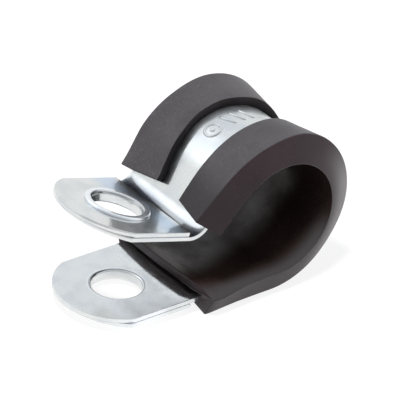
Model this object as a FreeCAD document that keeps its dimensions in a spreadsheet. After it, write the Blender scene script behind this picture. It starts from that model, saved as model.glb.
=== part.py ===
import FreeCAD, Part
import math
import os
import Sketcher

# Rubber-lined pipe clamp, sprung open. The lower tab lies flat and the upper one rises to its tip.
# The origin is the middle of the lower screw hole, on the face where the two tabs close.
# X runs from that hole to the loop, Y across the strap and Z up.

doc = FreeCAD.newDocument("cushioned_clamp")
sheet = doc.addObject("Spreadsheet::Sheet", "Sizes")

# Driving dimensions in millimetres and degrees
DIMENSIONS = {
    # Steel strap, one strip from tip to tip
    "strap_width": 15.0,
    "strap_thickness": 0.6,
    # Tab tips: the outer layer of each pair is cut longer and rounder than the inner one
    "long_tip_reach": 8.0,
    "long_tip_shoulder": 2.8,
    "short_tip_reach": 7.2,
    "short_tip_shoulder": 3.3,
    # Stiffening plates, one on the outer side of each tab
    "plate_thickness": 0.6,
    "lower_plate_reach": 5.8,
    "upper_plate_reach": 6.0,
    "plate_end_rounding": 0.25,
    # Screw holes: a collar drawn out of the strap, through the plate and rolled over it
    "hole_radius": 3.2,
    "hole_lead_in": 0.3,
    "collar_wall": 0.45,
    "collar_clearance": 0.05,
    "rim_radius": 4.25,
    "rim_height": 0.35,
    "rim_bevel": 0.12,
    "rim_mouth": 0.45,
    # Course of the strap's middle layer, as the clamp springs open
    "run_length": 17.6,
    "loop_radius": 9.1,
    "loop_angle": 235.5,
    "upper_run": 4.75,
    "bend_radius": 2.5,
    "tab_tilt": 16.6,
    "upper_reach": 6.2,
    # Rubber liner: a cushion inside the strap, with walls and two lips wrapped round its edges
    "liner_start": 7.0,
    "cushion_thickness": 1.0,
    "cushion_width": 19.2,
    "lip_thickness": 1.4,
    "lips_width": 16.4,
    "lip_gap": 6.0,
    "lip_setback": 1.2,
}

for row, (alias, number) in enumerate(DIMENSIONS.items(), start=1):
    sheet.set(f"A{row}", alias.replace("_", " "))
    sheet.set(f"B{row}", str(number))
    sheet.setAlias(f"B{row}", alias)


class Size:
    """A length with the text that keeps it bound to the sheet."""

    def __init__(self, value, text):
        self.value = value
        self.text = text

    def combine(self, other, sign, value):
        return Size(value, f"({self.text} {sign} {as_size(other).text})")

    def __add__(self, other):
        return self.combine(other, "+", self.value + as_size(other).value)

    def __sub__(self, other):
        return self.combine(other, "-", self.value - as_size(other).value)

    def __mul__(self, other):
        return self.combine(other, "*", self.value * as_size(other).value)

    def __truediv__(self, other):
        return self.combine(other, "/", self.value / as_size(other).value)

    def __neg__(self):
        return Size(-self.value, f"(-{self.text})")


def as_size(number):
    return number if isinstance(number, Size) else Size(number, str(number))


def size(alias):
    return Size(DIMENSIONS[alias], f"Sizes.{alias}")


NOTHING = Size(0.0, "0")


# Sketches

def origin_plane(body, role):
    return [plane for plane in body.Origin.OriginFeatures if plane.Role == role][0]


def new_sketch(body, name, role):
    sketch = body.newObject("Sketcher::SketchObject", name)
    sketch.AttachmentSupport = [(origin_plane(body, role), "")]
    sketch.MapMode = "FlatFace"
    return sketch


def bind(sketch, name, constraint, length):
    index = sketch.addConstraint(constraint)
    sketch.renameConstraint(index, name)
    sketch.setExpression(f"Constraints.{name}", length.text)


def fix_coordinate(sketch, name, kind, curve, end, length):
    """Holds one coordinate of a curve's end, measured from the sketch's origin."""
    if length is NOTHING:
        axis = -2 if kind == "DistanceX" else -1
        sketch.addConstraint(Sketcher.Constraint("PointOnObject", curve, end, axis))
    elif length.value < 0:
        bind(sketch, name, Sketcher.Constraint(kind, curve, end, -1, 1, -length.value), -length)
    else:
        bind(sketch, name, Sketcher.Constraint(kind, -1, 1, curve, end, length.value), length)


def shallow_arc(start, end, radius, turn):
    """The arc under half a turn from start to end. A turn of 1 curves left on the way, -1 right."""
    chord = end - start
    height = math.sqrt(radius * radius - chord.Length * chord.Length / 4)
    left = FreeCAD.Vector(-chord.y, chord.x, 0) / chord.Length
    centre = start + chord / 2 + left * height * turn
    angles = [math.atan2(point.y - centre.y, point.x - centre.x) for point in (start, end)]
    if turn < 0:
        angles.reverse()
    circle = Part.Circle(centre, FreeCAD.Vector(0, 0, 1), radius)
    return Part.ArcOfCircle(circle, angles[0], angles[1])


def draw_outline(sketch, corners):
    """Closes an outline through corners (x, y) or, where an arc leaves one, (x, y, radius, turn)."""
    points = [FreeCAD.Vector(corner[0].value, corner[1].value, 0) for corner in corners]
    first = sketch.GeometryCount
    for number, corner in enumerate(corners):
        start = points[number]
        end = points[(number + 1) % len(points)]
        if len(corner) == 4:
            sketch.addGeometry(shallow_arc(start, end, corner[2].value, corner[3]))
            bind(sketch, f"radius_{number}",
                 Sketcher.Constraint("Radius", first + number, corner[2].value), corner[2])
        else:
            sketch.addGeometry(Part.LineSegment(start, end))
    for number, corner in enumerate(corners):
        follower = (number + 1) % len(corners)
        clockwise = len(corner) == 4 and corner[3] < 0
        clockwise_next = len(corners[follower]) == 4 and corners[follower][3] < 0
        leaving = 1 if clockwise else 2
        arriving = 2 if clockwise_next else 1
        sketch.addConstraint(Sketcher.Constraint(
            "Coincident", first + number, leaving, first + follower, arriving))
        start_end = 2 if clockwise else 1
        fix_coordinate(sketch, f"x_{number}", "DistanceX", first + number, start_end, corner[0])
        fix_coordinate(sketch, f"y_{number}", "DistanceY", first + number, start_end, corner[1])


def draw_hole(sketch, radius):
    circle = Part.Circle(FreeCAD.Vector(0, 0, 0), FreeCAD.Vector(0, 0, 1), radius.value)
    hole = sketch.addGeometry(circle)
    sketch.addConstraint(Sketcher.Constraint("Coincident", hole, 3, -1, 1))
    bind(sketch, "hole", Sketcher.Constraint("Radius", hole, radius.value), radius)


# Course of the strap

RUN, LOOP, STRAIGHT, BEND, TAB = range(5)


def draw_course(body, name, used):
    """Draws the middle of the strap up to the upper hole. Stretches that aren't used stay construction."""
    sketch = new_sketch(body, name, "XZ_Plane")
    half = DIMENSIONS["strap_thickness"] / 2
    loop_radius = DIMENSIONS["loop_radius"]
    bend_radius = DIMENSIONS["bend_radius"]
    turned = math.radians(DIMENSIONS["loop_angle"])
    tab_heading = math.radians(180 - DIMENSIONS["tab_tilt"])
    up = FreeCAD.Vector(0, 0, 1)
    quarter = math.pi / 2

    def heading(angle):
        return FreeCAD.Vector(math.cos(angle), math.sin(angle), 0)

    start = FreeCAD.Vector(DIMENSIONS["liner_start"], -half, 0)
    foot = FreeCAD.Vector(DIMENSIONS["run_length"], -half, 0)
    middle = foot + heading(quarter) * loop_radius
    loop_end = middle + heading(turned - quarter) * loop_radius
    bend_start = loop_end + heading(turned) * DIMENSIONS["upper_run"]
    bend_middle = bend_start + heading(turned - quarter) * bend_radius
    bend_end = bend_middle + heading(tab_heading + quarter) * bend_radius
    hole = bend_end + heading(tab_heading) * DIMENSIONS["upper_reach"]

    sketch.addGeometry(Part.LineSegment(start, foot))
    sketch.addGeometry(Part.ArcOfCircle(Part.Circle(middle, up, loop_radius), -quarter, turned - quarter))
    sketch.addGeometry(Part.LineSegment(loop_end, bend_start))
    sketch.addGeometry(Part.ArcOfCircle(
        Part.Circle(bend_middle, up, bend_radius), tab_heading + quarter, turned + quarter))
    sketch.addGeometry(Part.LineSegment(bend_end, hole))
    for stretch in (RUN, LOOP, STRAIGHT, BEND, TAB):
        sketch.setConstruction(stretch, stretch not in used)

    sketch.addConstraint(Sketcher.Constraint("Horizontal", RUN))
    sketch.addConstraint(Sketcher.Constraint("Tangent", RUN, 2, LOOP, 1))
    sketch.addConstraint(Sketcher.Constraint("Tangent", LOOP, 2, STRAIGHT, 1))
    sketch.addConstraint(Sketcher.Constraint("Tangent", STRAIGHT, 2, BEND, 2))
    sketch.addConstraint(Sketcher.Constraint("Tangent", BEND, 1, TAB, 1))
    fix_coordinate(sketch, "start_x", "DistanceX", RUN, 1, size("liner_start"))
    fix_coordinate(sketch, "start_z", "DistanceY", RUN, 1, -size("strap_thickness") / 2)
    fix_coordinate(sketch, "foot_x", "DistanceX", RUN, 2, size("run_length"))
    bind(sketch, "loop_radius", Sketcher.Constraint("Radius", LOOP, loop_radius), size("loop_radius"))
    bind(sketch, "loop_angle", Sketcher.Constraint("Angle", LOOP, turned), size("loop_angle"))
    bind(sketch, "upper_run",
         Sketcher.Constraint("Distance", STRAIGHT, DIMENSIONS["upper_run"]), size("upper_run"))
    bind(sketch, "bend_radius", Sketcher.Constraint("Radius", BEND, bend_radius), size("bend_radius"))
    bind(sketch, "tab_heading",
         Sketcher.Constraint("Angle", TAB, tab_heading), Size(180, "180") - size("tab_tilt"))
    bind(sketch, "upper_reach",
         Sketcher.Constraint("Distance", TAB, DIMENSIONS["upper_reach"]), size("upper_reach"))
    return sketch


def measure(sketch, name, kind, curve, end):
    """Adds a reference dimension from the origin, for other sketches to follow."""
    point = sketch.getPoint(curve, end)
    length = point.x if kind == "DistanceX" else point.y
    index = sketch.addConstraint(Sketcher.Constraint(kind, -1, 1, curve, end, length))
    sketch.setDriving(index, False)
    sketch.renameConstraint(index, name)


# Frames of the two tabs: their middle is the screw hole on the closing face, and they look outwards

class LowerTab:
    """The flat tab, which looks down."""

    @staticmethod
    def lay_flat(sketch, level):
        sketch.AttachmentOffset = FreeCAD.Placement(
            FreeCAD.Vector(0, 0, -level.value), FreeCAD.Rotation(FreeCAD.Vector(1, 0, 0), 180))
        sketch.setExpression(".AttachmentOffset.Base.z", (-level).text)

    @staticmethod
    def stand_across(sketch):
        sketch.AttachmentOffset = FreeCAD.Placement(
            FreeCAD.Vector(0, 0, 0), FreeCAD.Rotation(FreeCAD.Vector(0, 0, 1), 180))


class UpperTab:
    """The tilted tab, which looks up. Its place is measured on the strap's course."""

    @staticmethod
    def lay_flat(sketch, level):
        rise = (level - size("strap_thickness") / 2).text
        sketch.AttachmentOffset = FreeCAD.Placement(
            FreeCAD.Vector(0, 0, 0), FreeCAD.Rotation(FreeCAD.Vector(0, 1, 0), DIMENSIONS["tab_tilt"]))
        sketch.setExpression(".AttachmentOffset.Rotation.Angle", "Sizes.tab_tilt")
        sketch.setExpression(".AttachmentOffset.Base.x",
                             f"strap_course.Constraints.hole_x + {rise} * 1 mm * sin(Sizes.tab_tilt)")
        sketch.setExpression(".AttachmentOffset.Base.z",
                             f"strap_course.Constraints.hole_z + {rise} * 1 mm * cos(Sizes.tab_tilt)")

    @staticmethod
    def stand_across(sketch):
        drop = (size("strap_thickness") / 2).text
        sketch.AttachmentOffset = FreeCAD.Placement(
            FreeCAD.Vector(0, 0, 0), FreeCAD.Rotation(FreeCAD.Vector(0, 0, 1), -DIMENSIONS["tab_tilt"]))
        sketch.setExpression(".AttachmentOffset.Rotation.Angle", "-Sizes.tab_tilt")
        sketch.setExpression(".AttachmentOffset.Base.x",
                             f"strap_course.Constraints.hole_x - {drop} * 1 mm * sin(Sizes.tab_tilt)")
        sketch.setExpression(".AttachmentOffset.Base.y",
                             f"strap_course.Constraints.hole_z - {drop} * 1 mm * cos(Sizes.tab_tilt)")


def tab_layer(body, name, tab, level, thickness, tip, root):
    """Pads one layer of a tab from its arched tip to its square root, with the collar's hole in it."""
    reach = size(f"{tip}_tip_reach")
    shoulder = size(f"{tip}_tip_shoulder")
    half = size("strap_width") / 2
    bulge = reach - shoulder
    tip_radius = (half * half + bulge * bulge) / (bulge * 2)
    sketch = new_sketch(body, f"{name}_outline", "XY_Plane")
    tab.lay_flat(sketch, level)
    draw_outline(sketch, [(-shoulder, half, tip_radius, 1), (-shoulder, -half), (root, -half), (root, half)])
    draw_hole(sketch, size("hole_radius") + size("collar_wall") + size("collar_clearance"))
    pad = body.newObject("PartDesign::Pad", f"{name}_layer")
    pad.Profile = sketch
    pad.setExpression("Length", thickness.text)
    return pad


def rolled_collar(body, name, tab):
    """Revolves the collar that is drawn through the plate and rolled over its outer face."""
    hole = size("hole_radius")
    lead_in = size("hole_lead_in")
    outside = hole + size("collar_wall")
    drawn = outside + size("collar_clearance")
    strap_face = size("strap_thickness")
    plate_face = strap_face + size("plate_thickness")
    top = plate_face + size("rim_height")
    rim = size("rim_radius")
    mouth = size("rim_mouth")
    bevel = size("rim_bevel")
    sketch = new_sketch(body, f"{name}_section", "XZ_Plane")
    tab.stand_across(sketch)
    draw_outline(sketch, [
        (drawn, NOTHING),
        (drawn, strap_face),
        (outside, strap_face),
        (outside, plate_face),
        (rim, plate_face),
        (rim, top - bevel),
        (rim - bevel, top),
        (hole + mouth, top, mouth, 1),
        (hole, top - mouth),
        (hole, lead_in, lead_in, 1),
        (hole + lead_in, NOTHING),
    ])
    collar = body.newObject("PartDesign::Revolution", name)
    collar.Profile = sketch
    collar.ReferenceAxis = (sketch, ["V_Axis"])
    collar.Angle = 360
    return collar


def sweep(body, name, section, course):
    pipe = body.newObject("PartDesign::AdditivePipe", name)
    pipe.Profile = section
    pipe.Spine = course
    pipe.Transition = "Transformed"
    return pipe


def section_sketch(body, name, station):
    """A sketch across the strap's run at a distance from the lower hole."""
    sketch = new_sketch(body, name, "YZ_Plane")
    sketch.setExpression(".AttachmentOffset.Base.z", station.text)
    return sketch


# Strap

def make_strap():
    body = doc.addObject("PartDesign::Body", "strap")
    half = size("strap_width") / 2
    thickness = size("strap_thickness")
    course = draw_course(body, "strap_course", (LOOP, STRAIGHT, BEND))
    measure(course, "hole_x", "DistanceX", TAB, 2)
    measure(course, "hole_z", "DistanceY", TAB, 2)
    tab_layer(body, "strap_lower", LowerTab, NOTHING, thickness, "long", size("run_length"))
    section = section_sketch(body, "strap_section", size("run_length"))
    draw_outline(section, [(-half, -thickness), (half, -thickness), (half, NOTHING), (-half, NOTHING)])
    sweep(body, "strap_loop", section, course)
    tab_layer(body, "strap_upper", UpperTab, NOTHING, thickness, "short", size("upper_reach"))
    rolled_collar(body, "lower_collar", LowerTab)
    rolled_collar(body, "upper_collar", UpperTab)
    return body


# Stiffening plates

def make_lower_plate():
    body = doc.addObject("PartDesign::Body", "lower_plate")
    thickness = size("plate_thickness")
    pad = tab_layer(body, "lower_plate", LowerTab, size("strap_thickness"), thickness,
                    "short", size("lower_plate_reach"))
    doc.recompute()
    reach = DIMENSIONS["lower_plate_reach"]
    ends = [f"Edge{number}" for number, edge in enumerate(pad.Shape.Edges, start=1)
            if edge.BoundBox.XLength < 0.001 and abs(edge.BoundBox.XMax - reach) < 0.001
            and edge.BoundBox.YLength > edge.BoundBox.ZLength]
    rounding = body.newObject("PartDesign::Fillet", "lower_plate_end")
    rounding.Base = (pad, ends)
    rounding.setExpression("Radius", size("plate_end_rounding").text)
    return body


def make_upper_plate():
    body = doc.addObject("PartDesign::Body", "upper_plate")
    tab_layer(body, "upper_plate", UpperTab, size("strap_thickness"), size("plate_thickness"),
              "long", size("upper_plate_reach"))
    return body


# Rubber liner

def trim_lips(body, name, place, backwards):
    """Cuts the lips' ends on a slant, so that their free corners stand back."""
    half_gap = size("lip_gap") / 2
    half_lips = size("lips_width") / 2
    sketch = new_sketch(body, f"{name}_outline", "XY_Plane")
    place(sketch)
    draw_outline(sketch, [
        (NOTHING, -half_lips),
        (size("lip_setback"), -half_gap),
        (size("lip_setback"), half_gap),
        (NOTHING, half_lips),
    ])
    pocket = body.newObject("PartDesign::Pocket", name)
    pocket.Profile = sketch
    pocket.setExpression("Length", size("lip_thickness").text)
    pocket.Reversed = backwards
    return pocket


def place_lower_trim(sketch):
    sketch.setExpression(".AttachmentOffset.Base.x", "Sizes.liner_start")
    sketch.setExpression(".AttachmentOffset.Base.z", "-Sizes.strap_thickness")


def place_upper_trim(sketch):
    sketch.AttachmentOffset = FreeCAD.Placement(
        FreeCAD.Vector(0, 0, 0), FreeCAD.Rotation(FreeCAD.Vector(0, 1, 0), 180 - DIMENSIONS["loop_angle"]))
    sketch.setExpression(".AttachmentOffset.Rotation.Angle", "180 - Sizes.loop_angle")
    half = (size("strap_thickness") / 2).text
    sketch.setExpression(".AttachmentOffset.Base.x",
                         f"liner_course.Constraints.end_x + {half} * 1 mm * sin(Sizes.loop_angle)")
    sketch.setExpression(".AttachmentOffset.Base.z",
                         f"liner_course.Constraints.end_z - {half} * 1 mm * cos(Sizes.loop_angle)")


def make_liner():
    body = doc.addObject("PartDesign::Body", "rubber_liner")
    half_strap = size("strap_width") / 2
    half_gap = size("lip_gap") / 2
    half_lips = size("lips_width") / 2
    half_cushion = size("cushion_width") / 2
    cushion = size("cushion_thickness")
    strap_face = -size("strap_thickness")
    lip_face = strap_face - size("lip_thickness")
    course = draw_course(body, "liner_course", (RUN, LOOP, STRAIGHT))
    measure(course, "end_x", "DistanceX", STRAIGHT, 2)
    measure(course, "end_z", "DistanceY", STRAIGHT, 2)
    section = section_sketch(body, "liner_section", size("liner_start"))
    draw_outline(section, [
        (-half_cushion, cushion),
        (-half_lips, lip_face),
        (-half_gap, lip_face),
        (-half_gap, strap_face),
        (-half_strap, strap_face),
        (-half_strap, NOTHING),
        (half_strap, NOTHING),
        (half_strap, strap_face),
        (half_gap, strap_face),
        (half_gap, lip_face),
        (half_lips, lip_face),
        (half_cushion, cushion),
    ])
    sweep(body, "liner_sweep", section, course)
    trim_lips(body, "lower_trim", place_lower_trim, False)
    trim_lips(body, "upper_trim", place_upper_trim, True)
    return body


bodies = [make_strap(), make_lower_plate(), make_upper_plate(), make_liner()]
doc.recompute()

# Checks and files

for item in doc.Objects:
    if "Invalid" in item.State or "Error" in item.State:
        raise RuntimeError(f"{item.Name} did not compute: {item.State}")

for trim in ("lower_trim", "upper_trim"):
    feature = doc.getObject(trim)
    if feature.Shape.Volume >= feature.BaseFeature.Shape.Volume:
        raise RuntimeError(f"{trim} cuts nothing")

os.makedirs("parts", exist_ok=True)
for body in bodies:
    shape = body.Shape
    if shape.isNull() or not shape.isValid() or len(shape.Solids) != 1:
        raise RuntimeError(f"{body.Label} is not one valid solid")
    print(body.Label, "volume", round(shape.Volume, 2), "solids", len(shape.Solids))
    shape.exportStep(f"parts/{body.Label}.step")
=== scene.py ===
"""Dresses a rubber-lined pipe clamp: zinc-plated steel, extruded rubber liner, pale studio."""

import math
from typing import NamedTuple

import bmesh
import bpy
from mathutils import Matrix, Vector


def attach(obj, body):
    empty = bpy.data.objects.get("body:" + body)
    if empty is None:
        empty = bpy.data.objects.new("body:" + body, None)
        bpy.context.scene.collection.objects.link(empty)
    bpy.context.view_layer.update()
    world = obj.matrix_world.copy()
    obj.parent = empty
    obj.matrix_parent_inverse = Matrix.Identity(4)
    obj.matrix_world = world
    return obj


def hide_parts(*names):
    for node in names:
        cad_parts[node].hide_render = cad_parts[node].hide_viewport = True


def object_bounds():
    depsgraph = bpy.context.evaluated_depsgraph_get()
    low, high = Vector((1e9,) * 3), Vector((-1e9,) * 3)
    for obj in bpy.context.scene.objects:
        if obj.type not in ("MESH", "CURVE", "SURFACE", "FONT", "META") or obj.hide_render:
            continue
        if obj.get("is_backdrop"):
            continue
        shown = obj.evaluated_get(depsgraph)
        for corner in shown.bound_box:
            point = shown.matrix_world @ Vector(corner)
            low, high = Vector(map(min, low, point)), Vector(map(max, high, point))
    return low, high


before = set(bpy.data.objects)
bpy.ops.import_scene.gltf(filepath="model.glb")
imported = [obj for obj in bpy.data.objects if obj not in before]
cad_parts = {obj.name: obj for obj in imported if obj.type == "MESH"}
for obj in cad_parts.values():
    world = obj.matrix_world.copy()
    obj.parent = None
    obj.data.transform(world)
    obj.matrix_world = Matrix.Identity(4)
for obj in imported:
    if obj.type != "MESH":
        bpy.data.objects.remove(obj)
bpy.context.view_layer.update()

bl_info = {
    "name": "Cushioned Clamp",
    "version": (1, 0, 0),
    "blender": (4, 5, 0),
    "location": "3D Viewport > Sidebar > Clamp",
    "description": "Dresses a rubber-lined pipe clamp and sets it on a pale studio floor",
    "category": "Object",
}

MM = 0.001


def length(name, description, default):
    """A size in metres, with a default in millimetres."""
    return bpy.props.FloatProperty(
        name=name, description=description, default=default * MM, unit="LENGTH", precision=5)


def angle(name, description, default):
    """An angle whose default is in degrees."""
    return bpy.props.FloatProperty(
        name=name, description=description, default=math.radians(default), subtype="ANGLE")


def share(name, description, default):
    return bpy.props.FloatProperty(
        name=name, description=description, default=default, min=0.0, max=1.0, subtype="FACTOR")


def colour(name, description, default):
    return bpy.props.FloatVectorProperty(
        name=name, description=description, default=default, size=3, min=0.0, max=1.0, subtype="COLOR")


class ZincSettings(bpy.types.PropertyGroup):
    """Bright zinc plating on the strap and the plates."""

    pale: colour("Pale zinc", "Plating where it is cleanest", (0.755, 0.77, 0.765))
    dull: colour("Dull zinc", "Plating where it has clouded", (0.62, 0.655, 0.69))
    # Painted shade: the dark line where the layers of the tabs meet.
    seam: colour("Seam", "Grime between the layers of the tabs", (0.10, 0.11, 0.13))
    polish: share("Polish", "Roughness of the plating where it mirrors", 0.06)
    satin: share("Satin", "Roughness of the plating's satin haze", 0.37)
    haze: share("Haze", "Share of the plating that is satin", 0.42)
    stamped_from: length(
        "Stamped field", "Height above which the strap is satin from the stamping", 17.2)
    edge_round: length("Edge rounding", "Rounding of the punched edges", 0.08)
    stamp_height: length("Stamp height", "How far the stamped marks stand out of the strap", 0.16)
    stamp_stroke: length("Stamp stroke", "Width of the stamped marks' strokes", 0.42)
    tab_lean: angle("Tab lean", "How far the upper tab leans from the lower one", 16.6)
    lower_seam: length("Lower seam", "Height of the face where strap and lower plate meet", -0.6)
    upper_seam: length(
        "Upper seam", "The same between strap and upper plate, along that tab's axis", 10.3066)
    upper_hole: length("Upper hole", "Where the upper tab's hole is, along that tab", -4.346)
    seam_width: length("Seam width", "Width of the dark line between the layers", 0.08)
    # Painted reflection: a blue tint that stands in for the dark rubber mirrored beside the upper bend.
    blue_reflection: colour("Blued zinc", "Plating turned blue beside the upper bend", (0.60, 0.71, 0.85))
    # Painted highlight: paler plating round the holes and beside the lower hole.
    painted_highlight: colour("Rubbed zinc", "Plating rubbed bright beside and round the holes", (0.93, 0.96, 1.0))
    # Painted reflection: the dark tone of the mirrored rubber in the hollow of the upper bend, and
    # where it starts and ends along the upper tab.
    bend_reflection_tone: colour("Bend tone", "Plating stretched dark in the upper bend", (0.12, 0.145, 0.205))
    bend_from: length("Bend from", "Where the stretched plating starts, along the upper tab", 1.7)
    bend_to: length("Bend to", "Where it ends", 3.9)


class RubberSettings(bpy.types.PropertyGroup):
    """Black extruded rubber of the liner."""

    # The outside, side, gap and inside colours are one rubber painted at four levels of light: the lips
    # lighter as painted light, the side walls, the walls beside the gap and the inside darker as
    # painted shade.
    outside: colour("Outside", "Rubber of the lips, which light has greyed", (0.070, 0.065, 0.070))
    side: colour("Sides", "Rubber of the slanted side walls", (0.024, 0.015, 0.018))
    gap: colour("Gap", "Rubber of the walls beside the gap", (0.030, 0.025, 0.026))
    inside: colour("Inside", "Rubber that the pipe keeps dark", (0.026, 0.017, 0.0155))
    # Painted light: the inside's lower front edge, painted paler where light reaches it.
    lit_rim: colour("Rim", "Greyed rubber along the cushion's lower front edge", (0.060, 0.055, 0.057))
    # Painted sheen: the front side wall painted paler where it turns away at the end of the loop.
    painted_sheen: colour(
        "Bloom", "Pale bloom on the front side wall at the end of the loop", (0.27, 0.255, 0.26))
    # Darker rubber towards the front lip's upper end.
    tip_darkening: colour(
        "Handled", "Rubber at the lips' upper ends, dark from handling", (0.01, 0.008, 0.008))
    roughness: share("Roughness", "Roughness of the lips and side walls", 0.48)
    shine: share("Shine", "How strongly the lips and side walls mirror", 0.32)
    gap_shine: share("Gap shine", "How strongly the walls beside the gap mirror", 0.15)
    skin: share("Skin", "How far the smooth skin is kept in the back of the inside", 0.7)
    dust: share("Dust", "Pale sheen of the lips at a low angle", 0.1)
    side_dust: share("Side dust", "Pale sheen of the side walls at a low angle", 0.12)


class LinerSettings(bpy.types.PropertyGroup):
    """Sizes of the rubber liner."""

    run_start: length("Start", "Where the liner starts, along the lower tab", 7.0)
    run_end: length("Run end", "Where the lower run meets the loop", 17.6)
    loop_radius: length("Loop radius", "Radius of the strap's middle layer in the loop", 9.1)
    loop_angle: angle("Loop angle", "How far the strap turns in the loop", 235.5)
    upper_run: length("Upper run", "Straight stretch between the loop and the upper bend", 4.75)
    strap_width: length("Strap width", "Width of the strap inside the liner", 15.0)
    strap_thickness: length("Strap thickness", "Thickness of the strap inside the liner", 0.6)
    cushion: length("Cushion", "Rubber between the strap and the pipe", 1.0)
    lip: length("Lip", "Thickness of the lips outside the strap", 1.4)
    cushion_width: length("Cushion width", "Width of the cushion's inner face", 19.2)
    lips_width: length("Lips width", "Width over the two lips", 16.4)
    lip_gap: length("Lip gap", "Bare strap between the lips", 6.0)
    setback: length("Lip setback", "How far the lips' free corners stand back at the lower end", 1.2)
    tip_setback: length("Tip setback", "The same for the front lip at the upper end", 0.65)
    back_setback: length("Back setback", "The same for the back lip at the upper end", 1.0)
    front_setback: length("Front setback", "How far the front wall stands back at the lower end", 0.4)
    front_reach: length("Front reach", "How far the front wall reaches on at the upper end", 0.3)
    end_bow: length("End bow", "How far the lower end bulges in the middle", 0.4)
    end_swell: length("End swell", "How much thicker the cushion is at its lower end", 0.33)
    gap_dip: length("Gap dip", "How far the back lip thins towards the gap", 0.2)
    flash: length("Flash", "Height of the thin ridge along the cushion's front edge", 0.09)
    run_spread: length("Run spread", "How far the front lip stands out along the lower run", 0.2)
    tip_length: length("Tip", "Stretch at the upper end where the lips draw in", 9.0)
    front_pinch: length("Front pinch", "How far the front lip's edge draws in at the upper end", 1.35)
    back_pinch: length("Back pinch", "How far the back lip creeps over the strap at the upper end", 1.0)
    gap_pinch: length("Gap pinch", "How far the front lip creeps over the strap at the upper end", 0.34)
    cushion_pinch: length(
        "Cushion pinch", "How far the cushion's front edge draws in at the upper end", 0.8)
    root_length: length("Root", "Stretch at the lower end where the rubber spreads", 10.0)
    root_spread: length("Root spread", "How far the front edge spreads at the lower end", 0.3)
    crown_lift: length(
        "Crown lift", "How far the cushion's middle lifts off the strap at the lower end", 0.6)
    crown_length: length("Crown", "Stretch at the lower end over which the cushion lifts", 3.5)
    crown_shift: length("Crown shift", "How far behind the middle it lifts most", 0.5)
    crown_reach: length("Crown reach", "How far from there the lift ends", 8.0)
    undercut: length("Undercut", "How far the back lip hangs over its foot on the strap", 0.2)
    slump: length("Slump", "How far the cushion's front edge sinks along the lower run", 0.1)
    corner_slump: length("Corner slump", "How much further it sinks at the lower end", 0.55)
    corner_sag: length("Corner sag", "How far the front lip sags at the lower end", 0.2)
    slump_width: length("Slump width", "Width of the strip that sinks", 2.2)
    lip_roll: length(
        "Lip roll", "How far the lips roll out over the loop, and their gap edges sink", 0.45)
    gap_spread: length("Gap spread", "How far the gap opens over the top of the loop", 0.35)
    back_flare: length(
        "Back flare", "How far the back lip's edge stands out over the top of the loop", 0.47)
    shoulder: length("Shoulder", "How much further the front lip stands out before the top", 0.09)


class StageSettings(bpy.types.PropertyGroup):
    """Camera, lamps and floor."""

    azimuth: angle("Azimuth", "Direction that the camera stands in, from the front", -40.7)
    elevation: angle("Elevation", "Height of the camera above the horizon", 31.27)
    roll: angle("Roll", "Lean of the camera about its own line of sight", 5.46)
    distance: length("Distance", "From the camera to the point that it looks at", 701.4)
    lens: bpy.props.FloatProperty(name="Lens", description="Focal length in millimetres", default=512.8)
    target: bpy.props.FloatVectorProperty(
        name="Target", description="Point that the camera looks at", unit="LENGTH",
        default=(11.278 * MM, -1.001 * MM, 9.138 * MM), size=3)
    floor: colour("Floor", "Colour of the floor as it lights the object", (0.35, 0.35, 0.35))


# Shaders

class Signal:
    """An output socket that can stand in a sum."""

    def __init__(self, graph, socket):
        self.graph = graph
        self.socket = socket

    def __add__(self, other):
        return self.graph.math("ADD", self, other)

    def __sub__(self, other):
        return self.graph.math("SUBTRACT", self, other)

    def __rsub__(self, other):
        return self.graph.math("SUBTRACT", other, self)

    def __mul__(self, other):
        return self.graph.math("MULTIPLY", self, other)

    def __abs__(self):
        return self.graph.math("ABSOLUTE", self)

    __radd__ = __add__
    __rmul__ = __mul__


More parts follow.
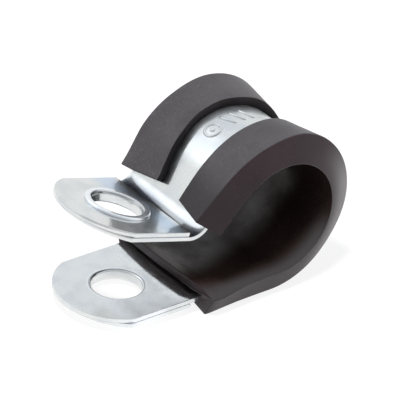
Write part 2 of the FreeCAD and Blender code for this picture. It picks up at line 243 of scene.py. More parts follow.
class Graph:
    """A material's node tree."""

    def __init__(self, material):
        material.use_nodes = True
        self.tree = material.node_tree
        self.tree.nodes.clear()

    def node(self, kind, settings=None, values=None, output=0):
        """Adds a node: its settings first, then the values or links of its sockets."""
        made = self.tree.nodes.new(kind)
        for name, value in (settings or {}).items():
            if name == "stops":
                self.set_stops(made.color_ramp, value)
            else:
                setattr(made, name, value)
        for key, value in (values or {}).items():
            if isinstance(value, Signal):
                self.tree.links.new(value.socket, made.inputs[key])
            else:
                made.inputs[key].default_value = value
        return Signal(self, made.outputs[output]) if made.outputs else made

    @staticmethod
    def set_stops(ramp, stops):
        while len(ramp.elements) < len(stops):
            ramp.elements.new(0.5)
        for element, (position, shade) in zip(ramp.elements, stops):
            element.position = position
            element.color = shade

    def math(self, operation, first, second=0.0):
        return self.node("ShaderNodeMath", {"operation": operation}, {0: first, 1: second})

    def smooth(self, value, low, high, start=0.0):
        """Goes smoothly from start to 1 as the value passes from low to high, or down to high."""
        return self.node(
            "ShaderNodeMapRange", {"interpolation_type": "SMOOTHSTEP"},
            {"Value": value, "From Min": low, "From Max": high, "To Min": start})

    def mix(self, factor, first, second):
        return self.node(
            "ShaderNodeMix", {"data_type": "RGBA"}, {0: factor, 6: first, 7: second}, output=2)

    def noise(self, place, scale, detail, roughness):
        return self.node(
            "ShaderNodeTexNoise", None,
            {"Vector": place, "Scale": scale, "Detail": detail, "Roughness": roughness})

    def place(self):
        """Where a point of the surface is, in millimetres of the frame."""
        point = self.node("ShaderNodeTexCoord", output=3)
        return self.node("ShaderNodeVectorMath", {"operation": "SCALE"}, {0: point, 3: 1000.0})

    def parts(self, vector):
        split = self.node("ShaderNodeSeparateXYZ", None, {0: vector}).socket.node
        return [Signal(self, socket) for socket in split.outputs]

    def distance(self, place, spot):
        return self.node(
            "ShaderNodeVectorMath", {"operation": "DISTANCE"}, {0: place, 1: spot}, output=1)

    def radius(self, first, second):
        """How far out a point is whose distances along two square axes are given."""
        return self.math("SQRT", first * first + second * second)

    def dot(self, vector, direction):
        return self.node(
            "ShaderNodeVectorMath", {"operation": "DOT_PRODUCT"}, {0: vector, 1: direction}, output=1)

    def bump(self, height, strength, distance):
        return self.node(
            "ShaderNodeBump", None, {"Height": height, "Strength": strength, "Distance": distance})

    def seen_directly(self):
        """1 for what the camera sees, itself or in metal or glass."""
        path = self.node("ShaderNodeLightPath").socket.node
        camera, glossy, through = [
            Signal(self, path.outputs[f"Is {kind} Ray"])
            for kind in ("Camera", "Glossy", "Transmission")]
        return self.math("MAXIMUM", self.math("MAXIMUM", camera, glossy), through)

    def surface(self, shader):
        self.node("ShaderNodeOutputMaterial", None, {"Surface": shader})


def opaque(shade):
    return (*shade, 1.0)


# Zinc plating
#
# A pair of numbers is a stretch over which something comes in: none of it at the first, all of it at
# the second. Places and distances are in millimetres, and facings are cosines. A noise has its
# repeats in a millimetre, its detail and its roughness.

CLOUD_NOISE = (0.35, 4.0, 0.6)
GRAIN_NOISE = (9.0, 3.0, 0.6)
PIT_NOISE = (11.0, 2.0, 0.5)
RELIEF_NOISE = (2.2, 3.0, 0.5)
CLOUDED = (0.38, 0.66)
PITTED = (0.60, 0.68)
UPPER_HALF = (3.0, 4.0)
ABOVE_MOUTH = (8.5, 9.0)
SHOWS_AS_EDGE = (0.7, 0.5)
BESIDE_LIPS = (3.6, 3.3)
STAMPED_FADE = 1.5

MOUTH_LINE = 3.45
MOUTH_LINE_RISE = 0.15
MOUTH_LINE_WIDTH = (0.10, 0.03)
RIM_INSIDE = (3.5, 3.65)
RIM_OUTSIDE = (3.95, 3.7)
UPPER_RIM_WIDER = 0.5
OFF_LOWER_RIM = (4.4, 4.6)
OFF_UPPER_RIM = (4.35, 4.55)
BEFORE_BEND = (5.0, 4.8)

BEND_BACK = (-2.5, 3.1)
BEND_FRONT = (-5.3, -7.3)
BEND_MIDDLE_SHARE = 0.2
BEND_START_BLUR = 0.2
BEND_END_BLUR = (0.3, -0.7)
BEND_RAGGED = 0.6
FACING_MOUTH = (0.3, 0.6)

BLUE_REFLECTION_ALONG = (-3.5, 0.0)
BLUE_REFLECTION_END = (4.5, 3.5)
TAB_FACE = (0.6, 0.8)
HIGHLIGHT_SPOT = (-1.0, -5.0, 0.0)
HIGHLIGHT_REACH = (5.0, 2.5)
POLISHED_ALONG = (2.8, 4.6)
POLISHED_UP = (1.0, 0.5)

DULL_SHARE = 0.5
HIGHLIGHT_SHARE = 0.8
BLUE_REFLECTION_SHARE = 0.8
BEND_REFLECTION_SHARE = 0.85
SEAM_SHADE = 0.7
MOUTH_SHADE = 0.55
ZINC_BUMP = 0.14
ZINC_RELIEF = 0.04 * MM


class SteelSpot:
    """Where a point of the steel is in the frame, along the leaning tab and from the holes' axes."""

    def __init__(self, graph, settings):
        self.place = graph.place()
        self.along, self.across, self.up = graph.parts(self.place)
        self.facing = graph.node("ShaderNodeTexCoord", output=1)
        self.tab_axis = Vector((math.sin(settings.tab_lean), 0, math.cos(settings.tab_lean)))
        self.tab_along = graph.dot(self.place, Vector((self.tab_axis.z, 0, -self.tab_axis.x)))
        self.tab_facing = graph.dot(self.facing, self.tab_axis)
        self.from_lower_hole = graph.radius(self.along, self.across)
        self.from_upper_hole = graph.radius(self.tab_along - settings.upper_hole / MM, self.across)
        self.upper = graph.smooth(self.up, *UPPER_HALF)
        self.from_hole = self.from_lower_hole * (1.0 - self.upper) + self.from_upper_hole * self.upper


def painted_mouth_shade(graph, spot):
    """Painted shade: a dark line inside each hole's rounded mouth."""
    off_line = abs(spot.from_hole + spot.upper * MOUTH_LINE_RISE - MOUTH_LINE)
    return graph.smooth(off_line, *MOUTH_LINE_WIDTH)


def hole_highlight(graph, spot):
    """Painted highlight round each hole, wider and brighter on the upper tab."""
    return (graph.smooth(spot.from_hole - spot.upper * UPPER_RIM_WIDER, *RIM_OUTSIDE)
            * graph.smooth(spot.from_hole, *RIM_INSIDE) * (spot.upper * 0.5 + 0.5))


def painted_seam_shade(graph, spot, settings):
    """Painted shade: the dark lines between the strap and each plate. They show on the edges, away from
    the rims.
    """
    width = settings.seam_width / MM
    line = (width, width * 0.4)
    lower = (graph.smooth(abs(spot.up - settings.lower_seam / MM), *line)
             * graph.smooth(abs(graph.parts(spot.facing)[2]), *SHOWS_AS_EDGE)
             * graph.smooth(spot.from_lower_hole, *OFF_LOWER_RIM))
    upper = (graph.smooth(abs(graph.dot(spot.place, spot.tab_axis) - settings.upper_seam / MM), *line)
             * graph.smooth(abs(spot.tab_facing), *SHOWS_AS_EDGE)
             * graph.smooth(spot.along, *BEFORE_BEND)
             * graph.smooth(spot.from_upper_hole, *OFF_UPPER_RIM))
    return lower + upper


def bend_reflection_mask(graph, spot, settings, cloud):
    """Painted reflection on the hollow side of the upper bend, dark at its back and front and paler
    between.
    """
    start = settings.bend_from / MM
    end_stretch = [settings.bend_to / MM + blur for blur in BEND_END_BLUR]
    back = graph.smooth(spot.across, *BEND_BACK, BEND_MIDDLE_SHARE)
    front = graph.smooth(spot.across, *BEND_FRONT) * (1 - BEND_MIDDLE_SHARE)
    return (graph.smooth(spot.tab_along, start - BEND_START_BLUR, start + BEND_START_BLUR)
            * graph.smooth(spot.tab_along + cloud * BEND_RAGGED, *end_stretch) * (back + front)
            * graph.smooth(spot.up, *ABOVE_MOUTH) * graph.smooth(spot.tab_facing, *FACING_MOUTH))


def blue_reflection_face(graph, spot, cloud):
    """Painted reflection: a blue tint on the upper plate's face towards the bend."""
    return (graph.smooth(spot.tab_along + cloud, *BLUE_REFLECTION_ALONG) * graph.smooth(spot.along, *BLUE_REFLECTION_END)
            * graph.smooth(spot.up, *ABOVE_MOUTH) * graph.smooth(spot.tab_facing, *TAB_FACE)
            * graph.smooth(spot.from_upper_hole, *OFF_UPPER_RIM))


def make_zinc(settings):
    """Bright zinc plating: a mirror under a satin haze, clouded in patches, with painted shade along
    the joins of the layers and in the holes' mouths, painted highlights round the holes and painted
    reflections beside and in the upper bend.
    """
    material = bpy.data.materials.new("bright_zinc")
    graph = Graph(material)
    spot = SteelSpot(graph, settings)
    cloud = graph.noise(spot.place, *CLOUD_NOISE)
    grain = graph.noise(spot.place, *GRAIN_NOISE)
    patches = graph.smooth(cloud, *CLOUDED)
    pits = graph.smooth(graph.noise(spot.place, *PIT_NOISE), *PITTED)
    stamped_from = settings.stamped_from / MM
    stamped = (graph.smooth(spot.up, stamped_from - STAMPED_FADE, stamped_from)
               * graph.smooth(abs(spot.across), *BESIDE_LIPS))
    polished = graph.smooth(spot.along, *POLISHED_ALONG) * graph.smooth(spot.up, *POLISHED_UP)
    painted_highlight = graph.smooth(graph.distance(spot.place, HIGHLIGHT_SPOT), *HIGHLIGHT_REACH)
    lit_rim = hole_highlight(graph, spot)
    bend = bend_reflection_mask(graph, spot, settings, cloud)
    blue_reflection = blue_reflection_face(graph, spot, cloud)
    # Painted shade along the joins between the layers and inside the holes' mouths.
    painted_shade = painted_seam_shade(graph, spot, settings) * SEAM_SHADE + painted_mouth_shade(graph, spot) * MOUTH_SHADE

    clean = graph.mix(patches * DULL_SHARE, opaque(settings.pale), opaque(settings.dull))
    # Painted highlight round the holes and beside the lower hole.
    bright = graph.mix(
        graph.math("MAXIMUM", painted_highlight, lit_rim) * HIGHLIGHT_SHARE, clean, opaque(settings.painted_highlight))
    # Painted reflection: a blue tint on the upper plate's face towards the bend.
    with_blue_reflection = graph.mix(blue_reflection * BLUE_REFLECTION_SHARE, bright, opaque(settings.blue_reflection))
    # Painted reflection of the dark rubber in the upper bend.
    with_bend_reflection = graph.mix(bend * (BEND_REFLECTION_SHARE - pits * 0.5), with_blue_reflection, opaque(settings.bend_reflection_tone))
    base = graph.mix(painted_shade, with_bend_reflection, opaque(settings.seam))
    relief = graph.noise(spot.place, *RELIEF_NOISE) * 0.6 + grain * 0.4
    bump = graph.bump(relief, ZINC_BUMP, ZINC_RELIEF)
    mirror, satin = [
        graph.node("ShaderNodeBsdfPrincipled", None, {
            "Base Color": base, "Metallic": 1.0, "Normal": bump,
            "Roughness": roughness + patches * 0.04 + grain * 0.03 + stamped * 0.1})
        for roughness in (settings.polish, settings.satin)]
    # How much of the satin haze each kind of spot adds or takes.
    satin_share = (settings.haze + (patches - 0.5) * 0.16 + pits * 0.25 + painted_highlight * 0.5 + blue_reflection * 0.25
                   + stamped * 0.2 - polished * 0.28 + lit_rim * 0.1)
    graph.surface(graph.node("ShaderNodeMixShader", None, {0: satin_share, 1: mirror, 2: satin}))
    return material


# Rubber
#
# Pairs of numbers are stretches here too, and threes are noises.

RUBBER_CLOUD_NOISE = (0.22, 3.0, 0.55)
RUBBER_GRAIN_NOISE = (3.0, 4.0, 0.7)
SPECK_NOISE = (2.6, 1.0, 0.5)
RUBBER_CLOUDED = (0.3, 0.7)
SKIN_CLOUDED = (0.3, 0.65)
EDGE_ACROSS = (-6.4, -9.0)
LOWER_RUN_UP = (8.0, 4.0)
BACK_FROM = (-5.2, -0.8)
BACK_MIDDLE = 12.0
BACK_SLANT = 0.23
BACK_LEVEL = 4.0
BACK_RISE = 0.4
LOOP_MIDDLE = (17.6, 8.8)
LOOP_END_ALONG = (20.5, 27.5)
LOOP_END_RADIUS = (7.2, 11.0)
LOOP_END_UP = (17.5, 9.5)
FRONT_WALL = (-7.0, -8.0)
TIP_UP = (17.0, 13.0)
TIP_ALONG = (14.0, 10.0)
TIP_ACROSS = (1.0, -1.0)
SPECKS = (0.66, 0.74)
MIDDLE_TONE = 0.35
CLOUD_TONE = 0.3
GRAIN_TONE = 0.9
SPECK_TONE = 0.5
DEEP = 0.6
LIGHT = 1.5
SOFT_GLOSS = 0.35
RUBBER_BUMP = 0.25
RUBBER_RELIEF = 0.06 * MM


def lower_rim(graph, along, across, up):
    """Where the cushion's front edge lies open to the light, along the lower run: the inside is painted
    paler there as painted light.
    """
    return graph.smooth(across, *EDGE_ACROSS) * graph.smooth(up, *LOWER_RUN_UP)


def back_half(graph, along, across, up):
    """The back of the inside, further back the nearer to the loop's end, and less far the higher."""
    higher = graph.math("MAXIMUM", up - BACK_LEVEL, 0.0)
    return graph.smooth(
        across - (along - BACK_MIDDLE) * BACK_SLANT + higher * BACK_RISE, *BACK_FROM)


def loop_end(graph, along, across, up):
    """Where the front side wall turns away at the end of the loop, more so towards its outer edge; it
    is painted paler there as a painted sheen.
    """
    beyond, above = along - LOOP_MIDDLE[0], up - LOOP_MIDDLE[1]
    radius = graph.radius(beyond, above)
    return (graph.smooth(along, *LOOP_END_ALONG) * graph.smooth(radius, *LOOP_END_RADIUS)
            * graph.smooth(across, *FRONT_WALL) * graph.smooth(up, *LOOP_END_UP))


class RubberFinishAndShade(NamedTuple):
    """What one of the liner's faces has of its own. Its shade is the one rubber painted lighter or
    darker: painted light on the lips, painted shade on the side walls, the inside and the walls beside
    the gap.
    """

    name: str
    shade: tuple
    shine: float
    dust: float = 0.0
    tip_darkening: float = 0.0
    paler: tuple = None
    where: object = None
    skin: float = 0.0


def make_rubber(settings, finish_and_shade):
    """Extruded black rubber: faintly clouded, with grain and specks of dust, and darker towards the
    front lip's upper end.
    """
    material = bpy.data.materials.new(finish_and_shade.name)
    graph = Graph(material)
    place = graph.place()
    along, across, up = graph.parts(place)
    cloud = graph.noise(place, *RUBBER_CLOUD_NOISE)
    grain = graph.noise(place, *RUBBER_GRAIN_NOISE)
    specks = graph.smooth(graph.noise(place, *SPECK_NOISE), *SPECKS)
    tip = (graph.smooth(up, *TIP_UP) * graph.smooth(along, *TIP_ALONG)
           * graph.smooth(across, *TIP_ACROSS))
    tone = (graph.smooth(cloud, *RUBBER_CLOUDED) * CLOUD_TONE + (grain - 0.5) * GRAIN_TONE
            + MIDDLE_TONE + specks * SPECK_TONE)
    deep, light = ([channel * depth for channel in finish_and_shade.shade] for depth in (DEEP, LIGHT))
    clean = graph.mix(tone, opaque(deep), opaque(light))
    base = graph.mix(tip * finish_and_shade.tip_darkening, clean, opaque(settings.tip_darkening))
    # Painted light: paler where a place is given, the lit strip along the inside's lower front edge or
    # the painted sheen at the end of the loop.
    if finish_and_shade.where:
        base = graph.mix(finish_and_shade.where(graph, along, across, up), base, opaque(finish_and_shade.paler))
    values = {
        "Base Color": base, "Roughness": settings.roughness + grain * 0.1,
        "Specular IOR Level": finish_and_shade.shine, "Sheen Weight": finish_and_shade.dust, "Sheen Roughness": SOFT_GLOSS,
        "Normal": graph.bump(grain, RUBBER_BUMP, RUBBER_RELIEF)}
    if finish_and_shade.skin:
        smoothest = graph.smooth(cloud, *SKIN_CLOUDED, 0.5) * finish_and_shade.skin
        values["Coat Weight"] = back_half(graph, along, across, up) * smoothest
        values["Coat Roughness"] = SOFT_GLOSS
    graph.surface(graph.node("ShaderNodeBsdfPrincipled", None, values))
    return material


# Liner

def course(liner):
    """The strap's middle layer: a function from a distance along it to the point there and the
    direction into the loop, and the whole length."""
    half = liner.strap_thickness / 2
    middle = Vector((liner.run_end, 0, liner.loop_radius - half))
    run = liner.run_end - liner.run_start
    arc = liner.loop_radius * liner.loop_angle
    total = run + arc + liner.upper_run

    def at(distance):
        if distance < run:
            return Vector((liner.run_start + distance, 0, -half)), Vector((0, 0, 1))
        turned = min((distance - run) / liner.loop_radius, liner.loop_angle)
        inward = Vector((-math.sin(turned), 0, math.cos(turned)))
        along = Vector((math.cos(turned), 0, math.sin(turned)))
        point = middle - inward * liner.loop_radius
        return point + along * max(distance - run - arc, 0), inward

    return at, total


def ease(value, low, high):
    step = min(max((value - low) / (high - low), 0.0), 1.0)
    return step * step * (3 - 2 * step)


def near(distance, reach):
    """1 at an end of the liner, falling to nothing at reach."""
    return 1 - ease(distance, 0.0, reach)


def rise(distance, start, full):
    """Rises from nothing at start to 1 at full, both in millimetres."""
    return ease(distance, start * MM, full * MM)


def swell(distance, start, full, fading, end):
    """Rises from nothing at start to 1 at full, and falls again from fading to nothing at end."""
    return rise(distance, start, full) * (1 - rise(distance, fading, end))


def arch(liner, across):
    """How far the crown is lifted over the cushion's width: 1 at most, and nothing where it ends."""
    off = abs((across - liner.crown_shift) / liner.crown_reach)
    return max(1 - off ** CROWN_FLATNESS, 0)


# Stretches along the liner in millimetres: two numbers are a rise and four are a swell. The back
# lip's falls have their depth first.

LOWER_RUN_END = (14, 24)
SLUMP_END = (20, 28)
CREST = (18, 25, 36, 41)
TIGHT = (24, 29, 30, 35)
FRONT_TIGHT = (24, 29, 32, 37.5)
SHOULDER = (24, 29, 34, 39)
BACK_TOP = (27, 33)
BACK_TOP_FALLS = ((0.34, 38, 43), (0.36, 47, 52))
OVER_GAP = (30, 36, 60, 61)
GAP_TOP = (36.5, 40, 42, 45.5)
FRONT_TOP = (37, 41, 46, 49)

END_BULGE = 2 * MM
END_REACH = 3 * MM
CORNER_REACH = 6 * MM
DRAW_SHARPNESS = 1.5
CROWN_FLATNESS = 4
SINK_SHARE = 0.5
FRONT_GAP_SHARE = 0.3
FLASH_PEAK = 0.5  # across, in heights of the ridge
FLASH_FOOT = 1.5
ACROSS = 8
CUSHION_CORNERS = ACROSS + 1


def liner_section(liner, distance, total):
    """The liner's section at a distance along it: how far across and inward each corner lies.

    It goes along the cushion's inner face, round the back lip, along the cushion's outer face and
    round the front lip.
    """
    tip = ease(distance, total - liner.tip_length, total)
    draw = max(1 - (total - distance) / liner.tip_length, 0) ** DRAW_SHARPNESS
    root = near(distance, liner.root_length)
    corner = near(distance, CORNER_REACH)
    lift = liner.crown_lift * near(distance, liner.crown_length)
    thick = liner.end_swell * near(distance, END_BULGE)
    sink = SINK_SHARE * liner.root_spread * root
    slump = liner.slump * (1 - rise(distance, *SLUMP_END)) + liner.corner_slump * corner
    rolled_out = liner.lip_roll * swell(distance, *CREST)
    thinned = liner.gap_dip * swell(distance, *OVER_GAP)
    flare = liner.back_flare * rise(distance, *BACK_TOP) * (
        1 - sum(depth * rise(distance, *stretch) for depth, *stretch in BACK_TOP_FALLS))

    face = liner.strap_thickness / 2
    lip = -face - liner.lip
    flat = face + liner.cushion + thick - sink
    half_strap = liner.strap_width / 2
    half_gap = liner.lip_gap / 2
    front_edge = -liner.cushion_width / 2 + liner.cushion_pinch * draw - liner.root_spread * root
    back_edge = liner.cushion_width / 2
    front_lip = (-liner.lips_width / 2 + liner.front_pinch * draw
                 - liner.run_spread * (1 - rise(distance, *LOWER_RUN_END)))
    front_gap = (-half_gap - FRONT_GAP_SHARE * liner.gap_spread * swell(distance, *FRONT_TOP)
                 + liner.gap_pinch * tip)
    back_gap = (half_gap + liner.gap_spread * swell(distance, *GAP_TOP) - liner.back_pinch * tip
                + thinned)

    def crown(low, high, level, steps):
        spots = [low + (high - low) * step / steps for step in range(steps + 1)]
        return [(across, level + lift * arch(liner, across)) for across in spots]

    return [
        (front_edge, flat - slump),
        (front_edge + FLASH_PEAK * liner.flash, flat - slump + liner.flash),
        (front_edge + FLASH_FOOT * liner.flash, flat - slump),
        *crown(front_edge + liner.slump_width, back_edge, flat, ACROSS - 3),
        (liner.lips_width / 2 + flare, lip - max(rolled_out, flare)),
        (back_gap, lip + liner.lip_roll * swell(distance, *TIGHT) + thinned),
        (back_gap + liner.undercut, -face),
        (half_strap, -face),
        *crown(half_strap, -half_strap, face, ACROSS),
        (-half_strap, -face),
        (front_gap, -face),
        (front_gap, lip + liner.lip_roll * swell(distance, *FRONT_TIGHT)),
        (front_lip, lip - rolled_out - liner.shoulder * swell(distance, *SHOULDER) - sink
         - liner.corner_sag * corner),
    ]


# Corners of the section, by number, and the roundings of its edges in millimetres

BACK_LIP = CUSHION_CORNERS
UNDERSIDE = BACK_LIP + 4
FRONT_LIP = UNDERSIDE + CUSHION_CORNERS
CORNERS = FRONT_LIP + 4
BACK_GAP_CORNERS = (BACK_LIP + 1, BACK_LIP + 2)
FRONT_GAP_CORNERS = (FRONT_LIP + 1, FRONT_LIP + 2)
CUSHION_EDGE_ROUND = 0.14
LIP_EDGE_ROUND = 0.16
GAP_EDGE_ROUND = 0.07
END_ROUND = 0.12
FRONT_END_ROUND = 0.75
WALL_INSIDE = 1 * MM
END_RING = 1 * MM
RING_SPACING = 0.4 * MM
ROUNDED_CORNERS = {
    BACK_LIP - 1: CUSHION_EDGE_ROUND,
    BACK_LIP: LIP_EDGE_ROUND, BACK_LIP + 1: GAP_EDGE_ROUND,
    FRONT_LIP + 3: LIP_EDGE_ROUND, FRONT_LIP + 2: GAP_EDGE_ROUND,
}
OUTSIDE, SIDE, INSIDE, GAP = range(4)


def finish_and_shade_of(corner):
    """Which rubber finish the face has that runs from a corner to the next one."""
    if corner in (0, 1, BACK_LIP, FRONT_LIP + 2):
        return OUTSIDE
    if corner in (BACK_LIP - 1, FRONT_LIP + 3):
        return SIDE
    if corner in (BACK_LIP + 1, FRONT_LIP + 1):
        return GAP
    return INSIDE


def end_faces():
    """Corners of the faces that close the liner's ends: the cushion in strips, then walls and lips."""
    faces = []
    for step in range(ACROSS):
        over = UNDERSIDE + ACROSS - step
        faces.append((step, step + 1, over - 1, over))
    last = CUSHION_CORNERS - 1
    faces.append((last, BACK_LIP, BACK_LIP + 3, UNDERSIDE))
    faces.append((BACK_LIP, BACK_LIP + 1, BACK_LIP + 2, BACK_LIP + 3))
    faces.append((0, UNDERSIDE + last, FRONT_LIP, FRONT_LIP + 3))
    faces.append((FRONT_LIP, FRONT_LIP + 1, FRONT_LIP + 2, FRONT_LIP + 3))
    return faces


def liner_stations(total):
    """Distances along the liner of its rings. The end ones leave room for the rounded end edges."""
    between = total - 2 * END_RING
    count = round(between / RING_SPACING)
    return [0.0] + [END_RING + between * step / count for step in range(count + 1)] + [total]


def end_shift(liner, distance, total, corner, across):
    """How far a corner of the section stands on from its ring, near the liner's ends."""
    near_start = near(distance, END_REACH)
    near_end = near(total - distance, END_REACH)
    if corner in BACK_GAP_CORNERS or corner in FRONT_GAP_CORNERS:
        back = liner.back_setback if corner in BACK_GAP_CORNERS else liner.tip_setback
        return liner.setback * near_start - back * near_end
    if across < -liner.strap_width / 2 + WALL_INSIDE:
        return liner.front_setback * near_start + liner.front_reach * near_end
    if corner < BACK_LIP or UNDERSIDE <= corner < FRONT_LIP:
        middle = max(1 - (2 * across / liner.strap_width) ** 2, 0)
        return -liner.end_bow * near(distance, END_BULGE) * middle
    return 0.0


def sweep_liner(mesh, liner):
    """Adds the liner's rings of corners along its course."""
    at, total = course(liner)
    rings = []
    for distance in liner_stations(total):
        ring = []
        for corner, (across, inward) in enumerate(liner_section(liner, distance, total)):
            point, normal = at(distance + end_shift(liner, distance, total, corner, across))
            ring.append(mesh.verts.new(point + normal * inward + Vector((0, across, 0))))
        rings.append(ring)
    return rings


def make_liner(liner, finishes_and_shades):
    """Builds the liner. The weight of an edge is its rounding in millimetres."""
    mesh = bmesh.new()
    weight = mesh.edges.layers.float.new("bevel_weight_edge")
    rings = sweep_liner(mesh, liner)
    for ring, follower in zip(rings, rings[1:]):
        for corner in range(CORNERS):
            beside = (corner + 1) % CORNERS
            face = mesh.faces.new((ring[corner], ring[beside], follower[beside], follower[corner]))
            face.material_index = finish_and_shade_of(corner)
        for corner, radius in ROUNDED_CORNERS.items():
            mesh.edges.get((ring[corner], follower[corner]))[weight] = radius
    for corners in end_faces():
        for ring, order in ((rings[0], corners), (rings[-1], corners[::-1])):
            mesh.faces.new([ring[corner] for corner in order]).material_index = SIDE
    for ring in (rings[0], rings[-1]):
        for corner in [*range(2, BACK_LIP + 1), FRONT_LIP + 2, FRONT_LIP + 3]:
            mesh.edges.get((ring[corner], ring[(corner + 1) % CORNERS]))[weight] = END_ROUND
    mesh.edges.get((rings[0][FRONT_LIP + 3], rings[0][0]))[weight] = FRONT_END_ROUND
    bmesh.ops.recalc_face_normals(mesh, faces=mesh.faces)
    piece = link_mesh("liner_rubber", mesh, finishes_and_shades)
    rounding = piece.modifiers.new("rounding", "BEVEL")
    rounding.limit_method = "WEIGHT"
    rounding.width = 1 * MM
    rounding.segments = 3
    rounding.use_clamp_overlap = False
    keep_faces_flat(piece)
    return piece


def keep_faces_flat(piece):
    """Shades wide faces as flat, so that only the rounded edges turn the light."""
    smooth = piece.modifiers.new("smooth", "WEIGHTED_NORMAL")
    smooth.keep_sharp = True


def link_mesh(name, mesh, materials):
    """Turns a bmesh into an object of the scene with smooth faces."""
    data = bpy.data.meshes.new(name)
    mesh.to_mesh(data)
    mesh.free()
    for material in materials:
        data.materials.append(material)
    for face in data.polygons:
        face.use_smooth = True
    piece = bpy.data.objects.new(name, data)
    bpy.context.scene.collection.objects.link(piece)
    return piece


# Steel

SAME_POINT = 0.001 * MM
SAME_FACE = math.radians(0.5)
SHARP_EDGE = math.radians(35)


def round_edges(node, width):
    """Breaks the punched edges of a steel piece, which the plating rounds."""
    weld = node.modifiers.new("weld", "WELD")
    weld.merge_threshold = SAME_POINT
    flatten = node.modifiers.new("flatten", "DECIMATE")
    flatten.decimate_type = "DISSOLVE"
    flatten.angle_limit = SAME_FACE
    rounding = node.modifiers.new("edges", "BEVEL")
    rounding.limit_method = "ANGLE"
    rounding.angle_limit = SHARP_EDGE
    rounding.width = width
    rounding.segments = 2
    keep_faces_flat(node)


# Stamped marks. Places on the strap are (along, across). A stroke's profile is in its widths and
# heights, and its ends are smaller by a share.

RING_MIDDLE = Vector((42.9 * MM, 0.9 * MM))
RING_RADIUS = 1.0 * MM
RING_CORNERS = 36
DOT_RADIUS = 0.16 * MM
DOT_CORNERS = 12
BARS = 3
FIRST_BAR = 40.5
BAR_PITCH = 1.4
BAR_ACROSS = 1.0
BAR_SLANT = Vector((0.45 * MM, 1.15 * MM))
BAR_STEPS = (-1, -0.85, 0, 0.85, 1)
STROKE_END = 0.3
STROKE_PROFILE = ((-0.5, -0.5), (-0.38, 0.45), (-0.15, 1.0), (0.15, 1.0), (0.38, 0.45), (0.5, -0.5))


def raise_stroke(mesh, surface, path, closed, width, height):
    """Raises one stroke of a stamped mark along a path of (along, across) points on the strap."""
    rings = []
    count = len(path)
    for number, spot in enumerate(path):
        before = path[number - 1] if closed or number else spot
        after = path[(number + 1) % count] if closed or number + 1 < count else spot
        heading = Vector((after[0] - before[0], after[1] - before[1])).normalized()
        aside = Vector((-heading.y, heading.x))
        full = 1.0 if closed or 0 < number < count - 1 else STROKE_END
        rings.append([
            mesh.verts.new(surface(
                spot[0] + aside.x * offset * width * full,
                spot[1] + aside.y * offset * width * full,
                level * height * full))
            for offset, level in STROKE_PROFILE])
    pairs = list(zip(rings, rings[1:]))
    if closed:
        pairs.append((rings[-1], rings[0]))
    sides = len(STROKE_PROFILE)
    for ring, follower in pairs:
        for corner in range(sides):
            beside = (corner + 1) % sides
            mesh.faces.new((ring[corner], ring[beside], follower[beside], follower[corner]))
    if not closed:
        mesh.faces.new(rings[0])
        mesh.faces.new(list(reversed(rings[-1])))


def make_stamp(liner, zinc, material):
    """Plain stamped marks between the lips: a ring round a dot, and three slanted bars."""
    at, _ = course(liner)
    mesh = bmesh.new()

    def surface(along, across, height):
        point, inward = at(along)
        return point - inward * (liner.strap_thickness / 2 + height) + Vector((0, across, 0))

    def circle(radius, count):
        turns = [2 * math.pi * step / count for step in range(count)]
        return [RING_MIDDLE + Vector((math.cos(turn), math.sin(turn))) * radius for turn in turns]

    strokes = [(circle(RING_RADIUS, RING_CORNERS), True), (circle(DOT_RADIUS, DOT_CORNERS), True)]
    for number in range(BARS):
        middle = Vector(((FIRST_BAR - BAR_PITCH * number) * MM, BAR_ACROSS * MM))
        strokes.append(([middle + BAR_SLANT * step for step in BAR_STEPS], False))
    for path, closed in strokes:
        raise_stroke(mesh, surface, path, closed, zinc.stamp_stroke, zinc.stamp_height)
    bmesh.ops.recalc_face_normals(mesh, faces=mesh.faces)
    return link_mesh("stamped_marks", mesh, [material])


# Operators

class CLAMP_OT_plate_steel(bpy.types.Operator):
    """Plate the strap and both stiffening plates with bright zinc"""

    bl_idname = "clamp.plate_steel"
    bl_label = "Plate Steel"

    def execute(self, context):
        zinc = make_zinc(context.scene.clamp_zinc)
        for name in ("strap", "lower_plate", "upper_plate"):
            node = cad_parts[name]
            node.data.materials.clear()
            node.data.materials.append(zinc)
            round_edges(node, context.scene.clamp_zinc.edge_round)
        marks = make_stamp(context.scene.clamp_liner, context.scene.clamp_zinc, zinc)
        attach(marks, "root")
        return {"FINISHED"}


class CLAMP_OT_line_with_rubber(bpy.types.Operator):
    """Replace the plain liner with the extruded rubber one"""

    bl_idname = "clamp.line_with_rubber"
    bl_label = "Line with Rubber"

    def execute(self, context):
        rubber = context.scene.clamp_rubber
        # One rubber at four painted levels of light: the lips lit, the side walls, the inside and the
        # walls beside the gap in painted shade.
        finishes_and_shades = (
            RubberFinishAndShade("rubber_outside", rubber.outside, rubber.shine, rubber.dust, tip_darkening=0.6),
            RubberFinishAndShade("rubber_side", rubber.side, rubber.shine, rubber.side_dust, tip_darkening=0.2,
                         paler=rubber.painted_sheen, where=loop_end),
            RubberFinishAndShade("rubber_inside", rubber.inside, shine=0.0,
                         paler=rubber.lit_rim, where=lower_rim, skin=rubber.skin),
            RubberFinishAndShade("rubber_gap", rubber.gap, rubber.gap_shine))
        materials = [make_rubber(rubber, finish_and_shade) for finish_and_shade in finishes_and_shades]
        piece = make_liner(context.scene.clamp_liner, materials)
        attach(piece, "root")
        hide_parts("rubber_liner")
        return {"FINISHED"}


# Stage

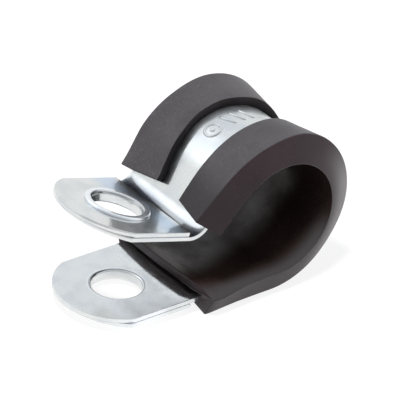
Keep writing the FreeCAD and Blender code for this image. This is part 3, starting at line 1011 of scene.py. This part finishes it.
FLOOR_REACH = 3.0
FLOOR_SEEN = (0.95, 0.95, 0.95)
FLOOR_GLOW = 1.12
FLOOR_GLOW_SHARE = 0.75
NEAREST_SEEN = 0.01
LAMP_AIM = Vector((0.01, 0, 0.01))
LAMPS = {  # where each lamp is, how wide it is and its power in watts
    "key_lamp": ((-0.17, -0.10, 0.57), 0.12, 3.1),
    "mouth_lamp": ((-0.58, -0.10, 0.22), 0.2, 0.9),
    "right_lamp": ((0.55, -0.30, 0.12), 0.3, 2.2),
}


def make_floor(settings):
    """A pale floor under the clamp. What is seen of it glows; what lights the clamp is duller."""
    material = bpy.data.materials.new("studio_floor")
    graph = Graph(material)
    seen = graph.seen_directly()
    shade = graph.mix(seen, opaque(settings.floor), opaque(FLOOR_SEEN))
    lit = graph.node("ShaderNodeBsdfDiffuse", None, {"Color": shade})
    glow = graph.node("ShaderNodeEmission", None, {"Color": (1, 1, 1, 1), "Strength": FLOOR_GLOW})
    share_of_glow = seen * FLOOR_GLOW_SHARE
    graph.surface(graph.node("ShaderNodeMixShader", None, {0: share_of_glow, 1: lit, 2: glow}))
    data = bpy.data.meshes.new("studio_floor")
    reach = FLOOR_REACH
    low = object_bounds()[0].z
    corners = [(-reach, -reach, low), (reach, -reach, low), (reach, reach, low), (-reach, reach, low)]
    data.from_pydata(corners, [], [(0, 1, 2, 3)])
    floor = bpy.data.objects.new("studio_floor", data)
    bpy.context.scene.collection.objects.link(floor)
    data.materials.append(material)
    floor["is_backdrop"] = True


def make_camera(settings):
    data = bpy.data.cameras.new("studio_camera")
    data.lens = settings.lens
    data.clip_start = NEAREST_SEEN
    camera = bpy.data.objects.new("studio_camera", data)
    bpy.context.scene.collection.objects.link(camera)
    back = Vector((math.sin(settings.azimuth) * math.cos(settings.elevation),
                   -math.cos(settings.azimuth) * math.cos(settings.elevation),
                   math.sin(settings.elevation)))
    level = back.to_track_quat("Z", "Y").to_matrix().to_4x4()
    lean = Matrix.Rotation(settings.roll, 4, "Z")
    spot = Vector(settings.target) + back * settings.distance
    camera.matrix_world = Matrix.Translation(spot) @ level @ lean
    bpy.context.scene.camera = camera


def make_lamp(name, spot, size, power):
    data = bpy.data.lights.new(name, "AREA")
    data.shape = "DISK"
    data.size = size
    data.energy = power
    lamp = bpy.data.objects.new(name, data)
    bpy.context.scene.collection.objects.link(lamp)
    lamp.visible_glossy = False
    spot = Vector(spot)
    turned = (spot - LAMP_AIM).to_track_quat("Z", "Y").to_matrix().to_4x4()
    lamp.matrix_world = Matrix.Translation(spot) @ turned


# Surrounding light. Pairs are stretches again, of a height's sine or a direction's cosine.

ROOM = [
    (0.0, (1.0, 1.0, 0.99, 1)), (0.3, (0.985, 0.995, 1.0, 1)),
    (0.6, (0.92, 0.96, 1.0, 1)), (1.0, (0.92, 0.95, 1.0, 1))]
WINDOW = Vector((-0.36, 0.65, 0.67)).normalized()
WINDOW_EDGE = (0.90, 0.985)
WINDOW_GLOW = 0.75
HORIZON_FOOT = (0.0, 0.01)
HORIZON_TOP = (0.06, 0.03)
HORIZON_SHADE = 0.6
CAMERA_SIDE = Vector((-0.63, -0.73, 0.26)).normalized()
CAMERA_SIDE_EDGE = (0.35, 0.7)
CAMERA_SIDE_SHADE = 0.38
LIGHT_SHARE = 0.2


def make_world():
    """An even white room, darker along the horizon and on the camera's side, with a window behind.

    What is seen or mirrored is the room at full strength. Its light on the object is a fifth of that.
    """
    world = bpy.data.worlds.new("studio")
    bpy.context.scene.world = world
    graph = Graph(world)
    direction = graph.node("ShaderNodeTexCoord", output=0)
    height = graph.parts(direction)[2]
    room = graph.node("ShaderNodeValToRGB", {"stops": ROOM}, {0: height})
    window = graph.smooth(graph.dot(direction, WINDOW), *WINDOW_EDGE) * WINDOW_GLOW
    horizon = graph.smooth(height, *HORIZON_FOOT) * graph.smooth(height, *HORIZON_TOP) * HORIZON_SHADE
    behind = graph.smooth(graph.dot(direction, CAMERA_SIDE), *CAMERA_SIDE_EDGE) * CAMERA_SIDE_SHADE
    path = graph.node("ShaderNodeLightPath").socket.node
    mirrored = Signal(graph, path.outputs["Is Glossy Ray"])
    strength = (graph.seen_directly() * (1 - LIGHT_SHARE) + LIGHT_SHARE
                + mirrored * (window - graph.math("MAXIMUM", horizon, behind)))
    background = graph.node("ShaderNodeBackground", None, {"Color": room, "Strength": strength})
    graph.node("ShaderNodeOutputWorld", None, {"Surface": background})


class CLAMP_OT_set_stage(bpy.types.Operator):
    """Set the camera, lamps, floor and surrounding light"""

    bl_idname = "clamp.set_stage"
    bl_label = "Set Stage"

    def execute(self, context):
        settings = context.scene.clamp_stage
        make_camera(settings)
        make_floor(settings)
        make_world()
        for name, (spot, size, power) in LAMPS.items():
            make_lamp(name, spot, size, power)
        context.scene.view_settings.view_transform = "Standard"
        return {"FINISHED"}


class CLAMP_PT_sidebar(bpy.types.Panel):
    """Steps and sizes of the clamp."""

    bl_idname = "CLAMP_PT_sidebar"
    bl_label = "Cushioned Clamp"
    bl_space_type = "VIEW_3D"
    bl_region_type = "UI"
    bl_category = "Clamp"

    def draw(self, context):
        column = self.layout.column()
        for step in STEPS:
            column.operator(step.bl_idname)


STEPS = (CLAMP_OT_plate_steel, CLAMP_OT_line_with_rubber, CLAMP_OT_set_stage)
SETTINGS = {
    "clamp_zinc": ZincSettings,
    "clamp_rubber": RubberSettings,
    "clamp_liner": LinerSettings,
    "clamp_stage": StageSettings,
}


def register():
    for group in (*SETTINGS.values(), *STEPS, CLAMP_PT_sidebar):
        bpy.utils.register_class(group)
    for name, group in SETTINGS.items():
        setattr(bpy.types.Scene, name, bpy.props.PointerProperty(type=group))


def unregister():
    for name in SETTINGS:
        delattr(bpy.types.Scene, name)
    for group in (CLAMP_PT_sidebar, *STEPS, *SETTINGS.values()):
        bpy.utils.unregister_class(group)


def main():
    register()
    bpy.ops.clamp.plate_steel()
    bpy.ops.clamp.line_with_rubber()
    bpy.ops.clamp.set_stage()


if __name__ == "__main__":
    main()
